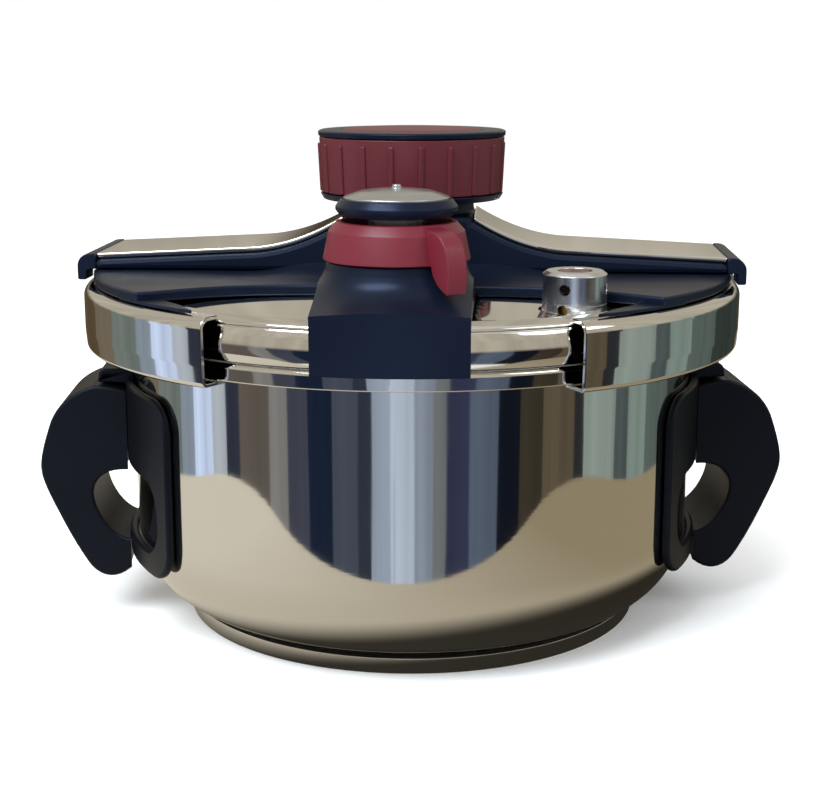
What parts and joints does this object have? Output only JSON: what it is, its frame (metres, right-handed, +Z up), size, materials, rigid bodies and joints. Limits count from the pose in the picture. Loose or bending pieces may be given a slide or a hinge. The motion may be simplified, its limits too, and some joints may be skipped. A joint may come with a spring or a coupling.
{
  "type": "stovetop pressure cooker",
  "caption": "Stovetop pressure cooker: stainless pot with side handles and a lid held by jaws that a turning knob slides open, with a selector and steam valve.",
  "frame": {"origin": "centre of the underside of the base", "axes": "+Z up; +X along the bridge towards the right-hand jaw; -Y towards the steam valve"},
  "size_m": [0.2996, 0.251, 0.194],
  "materials": {
    "polished_steel": "mirror polished stainless steel",
    "satin_steel": "satin turned or pressed steel",
    "aluminium_core": "rolled",
    "brass": "machined",
    "black_plastic": "moulded satin with a blue-black tint",
    "burgundy_plastic": "moulded satin burgundy",
    "red_plastic": "moulded satin red",
    "silicone": "matt silicone"
  },
  "bodies": {
    "pot": {"pot_body": "polished_steel", "base_core": "aluminium_core", "base_cap": "polished_steel", "handle_bracket_right": "satin_steel", "handle_base_right": "black_plastic", "handle_grip_right": "black_plastic", "handle_screw_right": "satin_steel", "handle_bracket_left": "satin_steel", "handle_base_left": "black_plastic", "handle_grip_left": "black_plastic", "handle_screw_left": "satin_steel"},
    "lid": {"lid": "polished_steel", "gasket": "silicone", "lid_stud": "satin_steel", "knob_washer": "satin_steel", "knob_nut": "satin_steel", "lower_housing": "black_plastic", "bridge_housing": "black_plastic", "trim_right": "polished_steel", "trim_left": "polished_steel", "housing_screw_front_right": "satin_steel", "housing_screw_front_left": "satin_steel", "housing_screw_back_right": "satin_steel", "housing_screw_back_left": "satin_steel", "valve_housing": "black_plastic", "steam_nozzle": "satin_steel", "nozzle_seal": "silicone", "nozzle_nut": "satin_steel", "valve_cage": "satin_steel", "safety_valve_body": "brass", "safety_valve_nut": "satin_steel", "safety_spring": "satin_steel"},
    "knob": {"cam_disc": "satin_steel", "knob_base": "black_plastic", "knob_grip": "burgundy_plastic", "knob_rim": "black_plastic", "knob_cap": "burgundy_plastic"},
    "jaw_right": {"jaw_right": "polished_steel", "arm_right": "satin_steel", "cam_pin_right": "satin_steel", "jaw_rivet_front_right": "satin_steel", "jaw_rivet_back_right": "satin_steel"},
    "jaw_left": {"jaw_left": "polished_steel", "arm_left": "satin_steel", "cam_pin_left": "satin_steel", "jaw_rivet_front_left": "satin_steel", "jaw_rivet_back_left": "satin_steel"},
    "selector": {"selector_ring": "red_plastic"},
    "regulator": {"regulator_weight": "satin_steel", "regulator_disc": "black_plastic", "regulator_cap": "satin_steel"},
    "indicator": {"indicator_pin": "red_plastic", "indicator_seal": "silicone"}
  },
  "joints": [
    {"name": "lid_lift", "type": "slide", "parent": "pot", "child": "lid", "axis": [0, 0, 1], "range_m": [0, 0.16]},
    {"name": "knob_turn", "type": "hinge", "parent": "lid", "child": "knob", "pos_m": [0, 0, 0.18], "axis": [0, 0, 1], "range_deg": [0, 90]},
    {"name": "jaw_right_slide", "type": "slide", "parent": "lid", "child": "jaw_right", "axis": [1, 0, 0], "range_m": [0, 0.0131]},
    {"name": "jaw_left_slide", "type": "slide", "parent": "lid", "child": "jaw_left", "axis": [-1, 0, 0], "range_m": [0, 0.0131]},
    {"name": "selector_turn", "type": "hinge", "parent": "lid", "child": "selector", "pos_m": [0, -0.088, 0.16], "axis": [0, 0, 1], "range_deg": [-76, 0]},
    {"name": "regulator_lift", "type": "slide", "parent": "lid", "child": "regulator", "axis": [0, 0, 1], "range_m": [0, 0.02]},
    {"name": "indicator_rise", "type": "slide", "parent": "lid", "child": "indicator", "axis": [0, 0, 1], "range_m": [0, 0.004]}
  ],
  "couplings": [
    {"joint": "jaw_right_slide", "follows": "knob_turn", "m_per_rad": 0.0082761},
    {"joint": "jaw_left_slide", "follows": "knob_turn", "m_per_rad": 0.0082761}
  ]
}
